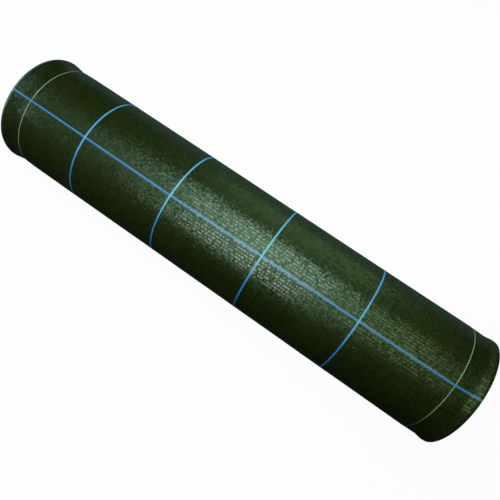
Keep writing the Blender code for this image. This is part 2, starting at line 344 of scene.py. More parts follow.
def roll_points(angle, x, lift):
    """Points a given height above the wound sheet, for angles, places and lifts alike in shape."""
    radius = surface_radius(angle) + edge_rise(x) + softness(angle, x) + lift
    downwards = np.maximum(-np.cos(angle), 1e-6)
    floor_limit = (axis_height + lift - floor_gap) / downwards
    radius = np.minimum(radius, np.where(np.cos(angle) < 0, floor_limit, radius))
    return np.stack([x + end_drift(angle, x), radius * np.sin(angle),
                     axis_height + radius * np.cos(angle)], axis=-1)


def flat_length(angle, x):
    """Distance along the flat sheet from the first blue line."""
    return roll_radius * (angle - line_angle - weft_skew(x))


def even_steps(first, last, step):
    count = max(1, round(abs(last - first) / step))
    return np.linspace(first, last, count + 1)


def edge_places():
    """Columns of the sheet along X, close together where its ends curl and swell."""
    end = np.concatenate([
        even_steps(0, curl_length, rim_column),
        even_steps(curl_length + 1.5 * mm, swollen_length, swollen_column)])[:-1]
    reach = sheet_edge - swollen_length
    middle = even_steps(-reach, reach, middle_column)
    return np.concatenate([end - sheet_edge, middle, (sheet_edge - end)[::-1]])


def turn_angles():
    """Rows of the outermost turn, with a fine one next to the seam so that it doesn't show."""
    return np.concatenate([even_steps(turn_start, seam_angle - seam_row, turn_row),
                           [seam_angle]])


def flap_angles():
    """Rows of the free end, from the seam on."""
    return np.concatenate([[seam_angle],
                           even_steps(seam_angle + seam_row, free_end_angle, flap_row)])


def lay_flat(mesh, layer, flat):
    """Gives each corner of a mesh its place on the flat sheet."""
    corner = np.empty(len(mesh.loops), int)
    mesh.loops.foreach_get("vertex_index", corner)
    layer.data.foreach_set("uv", flat[corner].ravel())


def wind_strip(name, angle, x, lift, thickness, flat_middle=0):
    """A flat grid of cloth, wound onto the roll and given its thickness inwards."""
    rows, columns = angle.shape
    bpy.ops.object.select_all(action="DESELECT")
    bpy.ops.mesh.primitive_grid_add(x_subdivisions=columns - 1, y_subdivisions=rows - 1, size=1)
    piece = bpy.context.object
    piece.name = name
    mesh = piece.data
    mesh.name = name
    mesh.vertices.foreach_set("co", roll_points(angle, x, lift).ravel())
    flat = np.stack([flat_length(angle, x), x - flat_middle], axis=-1)
    lay_flat(mesh, mesh.uv_layers[0], flat.reshape(-1, 2))
    mesh.update()
    bpy.ops.object.modifier_add(type="SOLIDIFY")
    solidify = piece.modifiers[-1]
    solidify.thickness = thickness
    solidify.offset = -1
    bpy.ops.object.modifier_apply(modifier=solidify.name)
    bpy.ops.object.shade_smooth_by_angle(angle=radians(35))
    return piece


def dress(piece, material, node, body=None):
    """Gives a piece its finish, hides the node it stands for, and hangs it on its body, or else
    bakes its placement.
    """
    piece.data.materials.clear()
    piece.data.materials.append(material)
    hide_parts(node)
    if body:
        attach(piece, body)
    else:
        bend_with_flap(piece)


def bend_with_flap(piece):
    """Bakes the placement of a piece of the free end into its points; it does not bend."""
    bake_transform(piece)


# Nodes

def feed(tree, socket, value):
    """Links a socket to another one, or gives it a value."""
    if isinstance(value, bpy.types.NodeSocket):
        tree.links.new(value, socket)
    elif value is not None:
        socket.default_value = value


def feed_all(tree, node, values):
    for name, value in values.items():
        feed(tree, node.inputs[name], value)


def put(tree, kind, *values, **settings):
    """Adds a node, with settings and with values or links for its sockets in order."""
    node = tree.nodes.new("ShaderNode" + kind)
    for key, value in settings.items():
        setattr(node, key, value)
    for socket, value in zip(node.inputs, values):
        feed(tree, socket, value)
    return node


def calc(tree, operation, a, b=None, c=None):
    return put(tree, "Math", a, b, c, operation=operation).outputs[0]


def product(tree, a, b):
    return calc(tree, "MULTIPLY", a, b)


def minus(tree, a, b):
    return calc(tree, "SUBTRACT", a, b)


def from_half(tree, value):
    """How far a value's fraction lies from a half."""
    return calc(tree, "ABSOLUTE", minus(tree, calc(tree, "FRACT", value), 0.5))


def weighted(tree, *pairs):
    """Sum of values, each times its weight."""
    total = None
    for value, weight in pairs:
        part = value if weight == 1 else product(tree, value, weight)
        total = part if total is None else calc(tree, "ADD", total, part)
    return total


def parts(tree, vector):
    return put(tree, "SeparateXYZ", vector).outputs


def joined(tree, *values):
    return put(tree, "CombineXYZ", *values).outputs[0]


def object_place(tree):
    return put(tree, "TexCoord").outputs["Object"]


def flat_place(tree):
    return put(tree, "UVMap").outputs["UV"]


def spread(tree, value, low, high, to_low=0.0, to_high=1.0):
    """Maps a value smoothly from one span to another, kept within its ends."""
    node = put(tree, "MapRange", interpolation_type="SMOOTHSTEP")
    feed_all(tree, node, {"Value": value, "From Min": low, "From Max": high,
                          "To Min": to_low, "To Max": to_high})
    return node.outputs["Result"]


def choose(tree, kind, factor, a, b):
    """One of two numbers (FLOAT), vectors (VECTOR) or colours (RGBA), or a mix of them."""
    node = put(tree, "Mix", factor, data_type=kind)
    result, first = {"FLOAT": (0, 2), "VECTOR": (1, 4), "RGBA": (2, 6)}[kind]
    feed(tree, node.inputs[first], a)
    feed(tree, node.inputs[first + 1], b)
    return node.outputs[result]


def mix_colour(tree, factor, a, b):
    return choose(tree, "RGBA", factor, a, b)


def noise_value(tree, vector, scale, detail=2.0, roughness=0.5):
    node = put(tree, "TexNoise", noise_dimensions="3D")
    feed_all(tree, node, {"Vector": vector, "Scale": scale, "Detail": detail,
                          "Roughness": roughness})
    return node.outputs["Fac"]


def new_group(name, inputs, outputs):
    """A shader node group that puts out numbers, and its input and output sockets."""
    group = bpy.data.node_groups.new(name, "ShaderNodeTree")
    for label, kind, default in inputs:
        socket = group.interface.new_socket(label, in_out="INPUT", socket_type=kind)
        if default is not None:
            socket.default_value = default
    for label in outputs:
        group.interface.new_socket(label, in_out="OUTPUT", socket_type="NodeSocketFloat")
    given = group.nodes.new("NodeGroupInput").outputs
    return group, given, group.nodes.new("NodeGroupOutput").inputs


def woven_tapes_group():
    """Plain weave of flat tapes, laid out in metres of flat sheet.

    The first part of the place runs along the sheet and the second across it, so warp
    tapes are counted by the second and weft tapes by the first.
    """
    name = "Woven tapes"
    if name in bpy.data.node_groups:
        return bpy.data.node_groups[name]
    group, given, result = new_group(
        name,
        [("Flat Place", "NodeSocketVector", None), ("Warp Pitch", "NodeSocketFloat", 0.0026),
         ("Weft Pitch", "NodeSocketFloat", 0.0030), ("Tilt", "NodeSocketFloat", 1.0)],
        ("Relief", "Warp On Top", "Tape Tone", "Streaks", "Tape Middle", "Float Tone",
         "Pair Valley", "Dashes"))
    first, second, _ = parts(group, given["Flat Place"])
    warps = calc(group, "DIVIDE", second, given["Warp Pitch"])
    wefts = calc(group, "DIVIDE", first, given["Weft Pitch"])
    warp_number = calc(group, "FLOOR", warps)
    weft_number = calc(group, "FLOOR", wefts)
    warp_across = minus(group, calc(group, "FRACT", warps), 0.5)
    weft_across = minus(group, calc(group, "FRACT", wefts), 0.5)
    checker = calc(group, "ADD", warp_number, weft_number)
    on_top = calc(group, "ABSOLUTE", calc(group, "FLOORED_MODULO", checker, 2.0))

    # Profile of the tape on top, and how far it leans
    across = choose(group, "FLOAT", on_top, weft_across, warp_across)
    along = choose(group, "FLOAT", on_top, warp_across, weft_across)
    arc = calc(group, "COSINE", product(group, along, pi))
    side = calc(group, "ABSOLUTE", product(group, across, 2.0))
    bow = minus(group, 1.0, product(group, side, side))
    crown = minus(group, 1.0, calc(group, "POWER", side, 3.0))
    ends = calc(group, "POWER", calc(group, "ABSOLUTE", product(group, along, 2.0)), 5.0)
    own = put(group, "TexWhiteNoise", joined(group, warp_number, weft_number, 0.0),
              noise_dimensions="2D")
    own_lean, own_tilt, own_tone = parts(group, own.outputs["Color"])
    weft_line = joined(group, product(group, weft_number, 5.3), product(group, second, 170.0), 0.0)
    warp_line = joined(group, product(group, warp_number, 5.3), product(group, first, 170.0), 9.0)
    lean = noise_value(group, choose(group, "VECTOR", on_top, weft_line, warp_line), 1.0, 1.0)
    lean = weighted(group, (minus(group, lean, 0.5), 2.2), (minus(group, own_lean, 0.5), 0.45))
    tilt = weighted(group, (lean, warp_across), (minus(group, own_tilt, 0.5), weft_across))
    relief = weighted(group, (arc, 0.15), (bow, 0.5), (tilt, given["Tilt"]))

    # Tone of each tape, and fine streaks along it
    number = choose(group, "FLOAT", on_top, calc(group, "ADD", weft_number, 0.37), warp_number)
    tone = put(group, "TexWhiteNoise", None, number, noise_dimensions="1D")
    warp_streaks = joined(group, product(group, first, 90.0), product(group, second, 5200.0), 0.0)
    weft_streaks = joined(group, product(group, first, 5200.0), product(group, second, 90.0), 3.0)
    streaks = choose(group, "VECTOR", on_top, weft_streaks, warp_streaks)

    # Weft tapes lie in pairs; warp floats between the pairs' valleys catch the light
    pairs = product(group, wefts, 0.5)
    pair_number = calc(group, "FLOOR", pairs)
    valley = spread(group, from_half(group, pairs), 0.14, 0.36)
    dash = noise_value(group, joined(group, product(group, pair_number, 7.31),
                                     product(group, second, 330.0), 4.0), 1.0, 1.0)
    dot = put(group, "TexWhiteNoise", joined(group, warp_number, pair_number, 5.0),
              noise_dimensions="3D")
    fourth = calc(group, "COSINE", product(group, warps, tau / 4))
    dash = weighted(group, (dash, 0.52), (dot.outputs["Value"], 0.48), (fourth, 0.015))
    dash = spread(group, dash, 0.45, 0.56)

    for label, value in (
            ("Relief", relief), ("Float Tone", own_tone), ("Warp On Top", on_top),
            ("Tape Tone", tone.outputs["Value"]), ("Pair Valley", valley),
            ("Streaks", noise_value(group, streaks, 1.0, 2.0, 0.6)),
            ("Dashes", product(group, dash, minus(group, 1.0, valley))),
            ("Tape Middle", product(group, crown, minus(group, 1.0, ends)))):
        feed(group, result[label], value)
    return group


# Materials

def new_material(name):
    material = bpy.data.materials.new(name)
    material.use_nodes = True
    tree = material.node_tree
    return material, tree, tree.nodes["Principled BSDF"]


def kept_material(name, make, *details):
    """A material that several pieces share, made once."""
    return bpy.data.materials.get(name) or make(name, *details)


def solid(colour, share=1):
    """A colour as four numbers, made darker or lighter by a share."""
    return (*(value * share for value in colour), 1)


def weave_outputs(tree, flat, warp_pitch, weft_pitch):
    node = put(tree, "Group", node_tree=woven_tapes_group())
    feed_all(tree, node, {"Flat Place": flat, "Warp Pitch": warp_pitch,
                          "Weft Pitch": weft_pitch, "Tilt": 3.0})
    return node.outputs


def add_bump(tree, shader, height, distance):
    node = put(tree, "Bump")
    feed_all(tree, node, {"Strength": 1.0, "Distance": distance, "Height": height})
    feed(tree, shader.inputs["Normal"], node.outputs["Normal"])


def green_sheet_material(name):
    """Dark green woven tapes with drawn streaks, a little dust and wear at random, and painted
    shade between tapes.
    """
    material, tree, shader = new_material(name)
    flat = flat_place(tree)
    weave = weave_outputs(tree, flat, sizes().warp_pitch, sizes().weft_pitch)
    green = colours().green
    patches = noise_value(tree, object_place(tree), 9.0, 4.0, 0.6)
    tone = weighted(tree, (weave["Tape Tone"], 0.30), (weave["Streaks"], 0.20),
                    (weave["Float Tone"], 0.30), (patches, 0.30))
    colour = mix_colour(tree, spread(tree, tone, 0.25, 0.95), solid(green),
                        solid(colours().pale_green))
    # Painted shade: the tapes go darker towards their edges and ends, in the gaps between them;
    # the gaps are rougher too.
    gap = spread(tree, weave["Tape Middle"], 0.1, 0.6)
    colour = mix_colour(tree, gap, solid(green, 0.45), colour)
    around, across, _ = parts(tree, flat)
    # Painted highlight: a teal band along the left rim stands in for the glint of its heat-cut
    # edge.
    painted_rim_glint = spread(tree, across, 2.5 * mm - sheet_edge, 7 * mm - sheet_edge, 0.9, 0.0)
    colour = mix_colour(tree, painted_rim_glint, colour, solid(colours().rim_glint_green))
    gloss = weighted(tree, (weave["Streaks"], 0.08), (weave["Float Tone"], 0.10),
                     (weave["Warp On Top"], 0.06), (spread(tree, gap, 0.0, 1.0, 0.25, 0.07), 1))
    behind_line = spread(tree, across, 0.10, 0.30, 0.48, 0.74)
    evenness = spread(tree, around, -1 * mm, 3 * mm, 0.86, behind_line)
    feed_all(tree, shader, {
        "Base Color": colour, "Roughness": gloss, "Specular IOR Level": 0.50,
        "Specular Tint": (0.56, 1.0, 0.56, 1), "Coat Roughness": 0.18, "Coat IOR": 1.70,
        "Coat Weight": product(tree, weave["Dashes"], evenness)})
    relief = weighted(tree, (weave["Relief"], 1), (weave["Streaks"], 0.02))
    add_bump(tree, shader, relief, 0.24 * mm)
    return material


def painted_light_ring(tree, base, along, depth):
    """Blue with painted light: paler on the roll's top, less so towards its ends, and deeper low
    at the back.
    """
    ends = product(tree, spread(tree, along, -0.38, -0.15, 0.70, 1.0),
                   spread(tree, along, 0.10, 0.25, 1.0, 0.60))
    # Painted light: paler blue on the top, most in the middle of the roll's length.
    painted_top_light = product(tree, spread(tree, depth, -0.080, -0.030), ends)
    base = mix_colour(tree, painted_top_light, base, solid(colours().crossing_and_lit_blue))
    # Painted light: deeper blue low at the back.
    return mix_colour(tree, spread(tree, depth, 0.040, 0.100), base,
                      solid(colours().back_lit_blue))


def crossed_line(tree, shader, base, around, across):
    """Blue that is paler where the rings cross it, with slanting glossy strokes."""
    from_ring = calc(tree, "PINGPONG", minus(tree, across, 0.072), 0.1)
    crossing = spread(tree, from_ring, 1.8 * mm, 2.8 * mm, 1.0, 0.0)
    among_rings = calc(tree, "LESS_THAN", calc(tree, "ABSOLUTE", across), 0.4)
    slant = calc(tree, "DIVIDE", calc(tree, "ADD", around, across), 6 * mm)
    stroke = spread(tree, from_half(tree, slant), 0.10, 0.22, 0.6, 0.0)
    feed_all(tree, shader, {"Coat Weight": stroke, "Coat Roughness": 0.15, "Coat IOR": 1.6})
    return mix_colour(tree, product(tree, crossing, among_rings), base,
                      solid(colours().crossing_and_lit_blue))


def marker_material(name, kind, colour, deep_share, gloss, notch, pitches):
    """One marker tape: drawn streaks along it, ribs where it passes over the crossing tapes."""
    material, tree, shader = new_material(name)
    flat = flat_place(tree)
    weave = weave_outputs(tree, flat, *pitches)
    place = object_place(tree)
    along, depth, _ = parts(tree, place)
    tone = weighted(tree, (weave["Streaks"], 0.6), (noise_value(tree, place, 60.0, 3.0), 0.5))
    base = mix_colour(tree, spread(tree, tone, 0.3, 0.9), solid(colour, deep_share),
                      solid(colour))
    dip = minus(tree, 1.0, weave["Tape Middle"])
    if kind == "ring":
        base = painted_light_ring(tree, base, along, depth)
    if kind == "line":
        base = crossed_line(tree, shader, base, *parts(tree, flat)[:2])
    if kind == "pale":
        dip = calc(tree, "MAXIMUM", dip, weave["Pair Valley"])
    dip = product(tree, dip, notch)
    if kind == "pale":
        # Painted shade: the pale rings turn to the sheet's green on the roll's front, more towards
        # its right end.
        painted_front_shade = product(tree, spread(tree, depth, -0.110, -0.030, 1.0, 0.0),
                       spread(tree, along, -0.4, 0.4, 0.35, 0.85))
        dip = calc(tree, "MAXIMUM", dip, painted_front_shade)
    feed_all(tree, shader, {
        "Base Color": mix_colour(tree, dip, base, solid(colours().green)),
        "Roughness": weighted(tree, (weave["Streaks"], 0.2), (gloss, 1)),
        "Specular Tint": (0.80, 1.0, 0.25, 1)})
    add_bump(tree, shader, weave["Relief"], 0.08 * mm)
    return material


def marker(kind):
    """The material of one kind of marker tape: ring, line or pale."""
    size = sizes()
    name, *details = {
        "ring": ("blue ring tape", colours().blue, 0.8, 0.20, 0.10,
                 (size.ring_width / 2, size.weft_pitch)),
        "line": ("blue line tape", colours().blue, 0.75, 0.20, 0.30,
                 (size.warp_pitch, size.line_width / 2)),
        "pale": ("pale ring tape", colours().pale, 0.6, 0.30, 0.60,
                 (size.pale_width, size.weft_pitch)),
    }[kind]
    return kept_material(name, marker_material, kind, *details)


def axis_parts(tree, place):
    """Place along X, place along Y, height above the roll's axis and distance from it."""
    along, depth, height = parts(tree, place)
    height = minus(tree, height, axis_height)
    square = weighted(tree, (calc(tree, "POWER", depth, 2.0), 1),
                      (calc(tree, "POWER", height, 2.0), 1))
    return along, depth, height, calc(tree, "SQRT", square)


def wound_edges_material(name):
    """Edges of the wound layers: fine light and dark rings with painted highlights, blue ends of
    the marker tapes.
    """
    material, tree, shader = new_material(name)
    place = object_place(tree)
    radius = axis_parts(tree, place)[-1]
    rings = noise_value(tree, joined(tree, product(tree, radius, 900.0), 0.0, 0.0), 1.0, 5.0, 0.7)
    bands = noise_value(tree, joined(tree, product(tree, radius, 170.0), 7.0, 0.0), 1.0)
    specks = noise_value(tree, place, 900.0, 2.0, 0.6)
    tone = weighted(tree, (rings, 0.55), (specks, 0.35), (bands, 0.45))
    # Partly painted highlight: the light rings mix the cut edges' paler green with light caught by
    # the edges.
    colour = mix_colour(tree, spread(tree, tone, 0.50, 0.86), solid(colours().pale_green),
                        solid(colours().cut_edge_glint_green))
    around, across, _ = parts(tree, flat_place(tree))
    near_line = spread(tree, calc(tree, "PINGPONG", around, 0.1), 2.2 * mm, 2.6 * mm, 1.0, 0.0)
    marked = product(tree, near_line, calc(tree, "COMPARE", across, 0.0, 0.5 * mm))
    feed_all(tree, shader, {
        "Base Color": mix_colour(tree, product(tree, marked, 0.85), colour,
                                 solid(colours().blue)),
        "Roughness": spread(tree, specks, 0.3, 0.7, 0.45, 0.75)})
    add_bump(tree, shader, calc(tree, "ADD", rings, specks), 0.12 * mm)
    return material


def board_material(name):
    """Brown board: spiral ply seam on the tube, thin plies on its ends, fibres all over."""
    material, tree, shader = new_material(name)
    place = object_place(tree)
    along, depth, height, radius = axis_parts(tree, place)
    turns = calc(tree, "DIVIDE", calc(tree, "ARCTAN2", depth, height), tau)
    seam = from_half(tree, calc(tree, "ADD", turns, calc(tree, "DIVIDE", along, 0.11)))
    groove = spread(tree, seam, 0.0, 0.012)
    ply = spread(tree, calc(tree, "PINGPONG", radius, 0.25 * mm), 0.0, 0.09 * mm)
    on_end = spread(tree, calc(tree, "ABSOLUTE", along), core_end - 0.3 * mm,
                    core_end - 0.15 * mm)
    ply = calc(tree, "MAXIMUM", ply, minus(tree, 1.0, on_end))
    cut = product(tree, groove, ply)
    fibres = noise_value(tree, place, 700.0, 4.0, 0.65)
    board = colours().board
    tone = weighted(tree, (fibres, 0.6), (noise_value(tree, place, 40.0, 3.0), 0.4))
    colour = mix_colour(tree, spread(tree, tone, 0.3, 0.7), solid(board), solid(board, 1.35))
    feed_all(tree, shader, {
        "Base Color": mix_colour(tree, cut, solid(board, 0.55), colour),
        "Roughness": spread(tree, fibres, 0.2, 0.8, 0.75, 0.95)})
    add_bump(tree, shader, weighted(tree, (cut, 1), (fibres, 0.4)), 0.15 * mm)
    return material


def clear_tape_material(name):
    """Clear adhesive tape with milky air bubbles under it."""
    material, tree, shader = new_material(name)
    place = object_place(tree)
    bubbles = spread(tree, noise_value(tree, place, 130.0, 3.0, 0.6), 0.45, 0.75)
    creases = noise_value(tree, place, 90.0, 3.0, 0.6)
    feed_all(tree, shader, {
        "Base Color": mix_colour(tree, bubbles, solid(colours().clear_tape),
                                 solid(colours().bubbles)),
        "Alpha": spread(tree, bubbles, 0.0, 1.0, 0.26, 0.42),
        "Roughness": spread(tree, creases, 0.3, 0.7, 0.08, 0.28)})
    add_bump(tree, shader, weighted(tree, (creases, 1), (bubbles, 0.2)), 0.4 * mm)
    return material


def paper_material(name):
    """Fibrous paper adhesive tape."""
    material, tree, shader = new_material(name)
    fibres = noise_value(tree, object_place(tree), 600.0, 4.0, 0.65)
    feed_all(tree, shader, {
        "Base Color": mix_colour(tree, fibres, solid(colours().paper),
                                 solid(colours().pale_paper)),
        "Roughness": spread(tree, fibres, 0.2, 0.8, 0.6, 0.85)})
    add_bump(tree, shader, fibres, 0.05 * mm)
    return material


# Pieces

def wound_layers_mesh():
    """Every layer below the outermost turn: two spiral ends, the outside and the bore.

    Each end is one spiral, with two rows of points to a layer and steps round the axis.
    Past its last step, a row goes on as the row of the next layer, two rows further out.
    """
    pitch = sizes().layer_pitch
    steps = layer_steps
    bore = core_radius + core_gap
    layers = int((surface_radius(turn_start) - bore) / pitch)
    rows = 2 * layers
    row = np.arange(rows + 3)[:, None]
    step = np.arange(steps)[None, :]
    turn = row / 2 + step / steps
    angle = np.broadcast_to(turn_start + tau * (step / steps), turn.shape)
    wound_length = (bore + pitch * turn / 2) * tau * turn
    ridge = np.where(row % 2 == 1, layer_ridge, 0.0)
    number_of_turn = np.arange(layers + 6)
    random = np.random.default_rng(7)
    points = []
    flats = []
    for side in (-1, 1):
        drift = np.cumsum(random.normal(0, 0.10, layers + 6))
        drift = drift - np.interp(number_of_turn, (0, layers + 5), (drift[0], drift[-1]))
        drift = layer_drift * drift / max(1e-9, np.abs(drift).max())
        jitter = random.normal(0, layer_jitter, layers + 6)
        offset = np.interp(turn, number_of_turn, drift + jitter) - layer_recess
        x = side * (sheet_edge + offset + ridge)
        x = x + end_drift(angle, x)
        outer = roll_points(angle - tau, np.full(angle.shape, side * sheet_edge),
                            np.zeros(angle.shape))
        growth = np.hypot(outer[..., 1], outer[..., 2] - axis_height) - bore
        grown = bore + np.minimum(growth * (turn / layers), growth + pitch * (turn - layers))
        end = np.stack([x, grown * np.sin(angle), axis_height + grown * np.cos(angle)], axis=-1)
        points.append(end.reshape(-1, 3))
        flats.append(np.stack([wound_length, np.zeros(turn.shape)], axis=-1).reshape(-1, 2))

    def number(m, n):
        """Number of a point in its end."""
        return (m + 2 * (n // steps)) * steps + n % steps

    m, n = np.meshgrid(np.arange(rows), np.arange(steps), indexing="ij")
    quads = np.stack([number(m, n), number(m, n + 1), number(m + 1, n + 1), number(m + 1, n)],
                     axis=-1).reshape(-1, 4)
    end_size = len(points[0])
    faces = [quads[:, ::-1], quads + end_size]

    # A loop goes once round, ends one layer further out and steps back in to its start
    loop_row = np.array([0] * steps + [2, 1])
    loop_step = np.array([*range(steps), 0, 0])
    loop_angle = turn_start - tau + tau * loop_step / steps
    loop_lift = pitch * loop_row / 2 - layer_gap
    rim = number(rows + loop_row, loop_step)
    hole = number(loop_row, loop_step)
    outside = [rim]
    count = 2 * end_size
    for x in edge_places()[1:-1]:
        place = np.full(loop_angle.shape, x)
        points.append(roll_points(loop_angle, place, loop_lift))
        flats.append(np.stack([roll_radius * (loop_angle - line_angle), place], axis=-1))
        outside.append(count + np.arange(len(place)))
        count += len(place)
    outside.append(rim + end_size)
    for loops, order in ((outside, [0, 3, 2, 1]), ([hole, hole + end_size], [0, 1, 2, 3])):
        for near, far in zip(loops, loops[1:]):
            quads = np.stack([near, np.roll(near, -1), np.roll(far, -1), far], axis=-1)
            faces.append(quads[:, order])
    mesh = bpy.data.meshes.new("wound_layers")
    mesh.from_pydata(np.concatenate(points).tolist(), [], np.concatenate(faces).tolist())
    lay_flat(mesh, mesh.uv_layers.new(name="UVMap"), np.concatenate(flats))
    return mesh


class WEEDROLL_OT_layers(bpy.types.Operator):
    """Wind every layer below the outermost turn, with the spiral of their edges at both ends"""
    bl_idname = "weed_roll.layers"
    bl_label = "Wind the inner layers"
    bl_options = {"REGISTER", "UNDO"}

    def execute(self, context):
        mesh = wound_layers_mesh()
        piece = bpy.data.objects.new("wound_layers", mesh)
        context.collection.objects.link(piece)
        bm = bmesh.new()
        bm.from_mesh(mesh)
        loose = [vert for vert in bm.verts if not vert.link_faces]
        bmesh.ops.delete(bm, geom=loose, context="VERTS")
        bmesh.ops.recalc_face_normals(bm, faces=bm.faces)
        bm.to_mesh(mesh)
        bm.free()
        bpy.ops.object.select_all(action="DESELECT")
        piece.select_set(True)
        context.view_layer.objects.active = piece
        bpy.ops.object.shade_smooth_by_angle(angle=radians(50))
        dress(piece, kept_material("wound sheet edges", wound_edges_material),
              "inner_turns", "roll")
        return {"FINISHED"}


class WEEDROLL_OT_sheet(bpy.types.Operator):
    """Wind the outermost turn of the sheet and its free end"""
    bl_idname = "weed_roll.sheet"
    bl_label = "Wind the outermost turn"
    bl_options = {"REGISTER", "UNDO"}

    def execute(self, context):
        material = kept_material("woven green sheet", green_sheet_material)
        for name, rows, node, body in (("outermost_turn", turn_angles(), "outer_turn", "roll"),
                                       ("free_end", flap_angles(), "end_flap", None)):
            angle, x = np.meshgrid(rows, edge_places(), indexing="ij")
            if name == "free_end":
                angle[-1] += sum(height * np.sin(x[-1] * along + phase)
                                 for height, along, phase in cut_waves) / roll_radius
            piece = wind_strip(name, angle, x, 0 * angle, sizes().cloth_thickness)
            dress(piece, material, node, body)
        return {"FINISHED"}


def width_of_ring(name):
    return sizes().ring_width if name.startswith("blue") else sizes().pale_width


def ring_strip(name, middle, rows):
    """A marker tape that goes round the roll, with a rib over each weft tape."""
    places = tape_profile * width_of_ring(name) / 2 + middle
    angle, x = np.meshgrid(rows, places, indexing="ij")
    rib = np.cos(flat_length(angle, x) / sizes().weft_pitch * tau)
    lift = tape_lift + rib_height * rib - tape_drops[None, :]
    return wind_strip(name, angle, x, lift, tape_thickness, middle)


class WEEDROLL_OT_rings(bpy.types.Operator):
    """Lay the blue and the pale marker tapes that go round the roll"""
    bl_idname = "weed_roll.rings"
    bl_label = "Lay the rings"
    bl_options = {"REGISTER", "UNDO"}

    def execute(self, context):
        step = sizes().weft_pitch / 4 / roll_radius
        turn_rows = even_steps(turn_start, seam_angle, step)
        end_rows = even_steps(seam_angle, free_end_angle, step)
        for name, turn_node, end_node in RINGS:
            kind, slot = (("ring", "blue_marker_tape") if name.startswith("blue")
                          else ("pale", "pale_marker_tape"))
            middle = middle_x(turn_node)
            piece = ring_strip(name, middle, turn_rows)
            dress(piece, marker(kind), turn_node, "roll")
            piece = ring_strip(name + "_end", middle, end_rows)
            dress(piece, marker(kind), end_node)
        return {"FINISHED"}


def ring_hop(x):
    """How far a line rises to pass over the rings."""
    height = np.zeros_like(x)
    for name, node, _ in RINGS:
        away = np.abs(x - middle_x(node)) - width_of_ring(name) / 2
        height = np.maximum(height, np.clip(1 - away / hop_ramp, 0, 1))
    return eased(height) * hop_height


class WEEDROLL_OT_lines(bpy.types.Operator):
    """Lay the blue marker tapes that run along the roll"""
    bl_idname = "weed_roll.lines"
    bl_label = "Lay the lines"
    bl_options = {"REGISTER", "UNDO"}

    def execute(self, context):
        end = sheet_edge - line_inset
        places = even_steps(-end, end, sizes().warp_pitch / 3)
        across = tape_profile * sizes().line_width / 2 / roll_radius
        for name, node, body in LINES:
            middle = round_angle(node_middle(node))
            while body == "roll" and middle > seam_angle:
                middle -= tau
            angle, x = np.meshgrid(middle + across, places, indexing="ij")
            rib = np.cos(x / sizes().warp_pitch * tau)
            lift = tape_lift + rib_height * rib - tape_drops[:, None] + ring_hop(x)
            piece = wind_strip(name, angle + weft_skew(x), x, lift, tape_thickness)
            dress(piece, marker("line"), node, body)
        return {"FINISHED"}


class WEEDROLL_OT_core(bpy.types.Operator):
    """Make the board core, and give the paper tape on it its finish"""
    bl_idname = "weed_roll.core"
    bl_label = "Make the core"
    bl_options = {"REGISTER", "UNDO"}

    def execute(self, context):
        middle = axis_height + core_radius - core_wall / 2
        bpy.ops.object.select_all(action="DESELECT")
        bpy.ops.mesh.primitive_plane_add(size=1, location=(0, 0, middle), rotation=(pi / 2, 0, 0))
        piece = context.object
        piece.name = "core_board_tube"
        piece.data.name = piece.name
        piece.scale = (2 * core_end, core_wall, 1)
        bpy.ops.object.transform_apply(location=True, rotation=True, scale=True)
        bpy.ops.object.mode_set(mode="EDIT")
        bpy.ops.mesh.select_all(action="SELECT")
        bpy.ops.mesh.bevel(offset=core_bevel, segments=4, affect="VERTICES")
        bpy.ops.mesh.select_all(action="SELECT")
        bpy.ops.mesh.delete(type="ONLY_FACE")
        bpy.ops.mesh.select_all(action="SELECT")
        bpy.ops.mesh.spin(steps=96, angle=tau, center=(0, 0, axis_height), axis=(1, 0, 0))
        bpy.ops.mesh.select_all(action="SELECT")
        bpy.ops.mesh.remove_doubles(threshold=1e-6)
        bpy.ops.mesh.normals_make_consistent(inside=False)
        bpy.ops.object.mode_set(mode="OBJECT")
        bpy.ops.object.shade_smooth_by_angle(angle=radians(40))
        dress(piece, kept_material("spiral core board", board_material),
              "core_tube", "roll")
        strip = frame["nodes"]["core_start_tape"]
        strip.data.materials.clear()
        strip.data.materials.append(kept_material("paper start tape", paper_material))
        return {"FINISHED"}


class WEEDROLL_OT_closing(bpy.types.Operator):
    """Stick the three clear strips that hold the free end down"""
    bl_idname = "weed_roll.closing"
    bl_label = "Stick the closing strips"
    bl_options = {"REGISTER", "UNDO"}

    def execute(self, context):
        material = kept_material("clear closing tape", clear_tape_material)
        rows = even_steps(free_end_angle - strip_on_flap / roll_radius,
                          free_end_angle + strip_past_end / roll_radius,
                          strip_row / roll_radius)
        teeth = np.where(np.arange(strip_columns) % 2, strip_tooth, -strip_tooth) / roll_radius
        for word in ("left", "middle", "right"):
            node = f"closing_tape_{word}"
            low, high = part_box(node)
            angle, x = np.meshgrid(rows, np.linspace(low[0], high[0], strip_columns),
                                   indexing="ij")
            angle[0] += teeth
            angle[-1] -= teeth
            past_end = (angle - free_end_angle) * roll_radius
            step_down = np.interp(past_end, strip_step,
                                  (0, strip_drop * sizes().layer_pitch))
            lift = strip_lift - step_down + strip_ripple * np.sin(x * 310 + angle * 40)
            piece = wind_strip(f"closing_strip_{word}", angle, x, lift, strip_thickness)
            dress(piece, material, node, "loose_end")
        return {"FINISHED"}


# Stage

def placement(location, right, up, back):
    return Matrix.Translation(location) @ Matrix((right, up, back)).transposed().to_4x4()


def aimed(location, target):
    """Placement at one point, looking at another."""
    back = (location - target).normalized()
    right = Vector((0, 1, 0)).cross(back).normalized()
    return placement(location, right, back.cross(right), back)


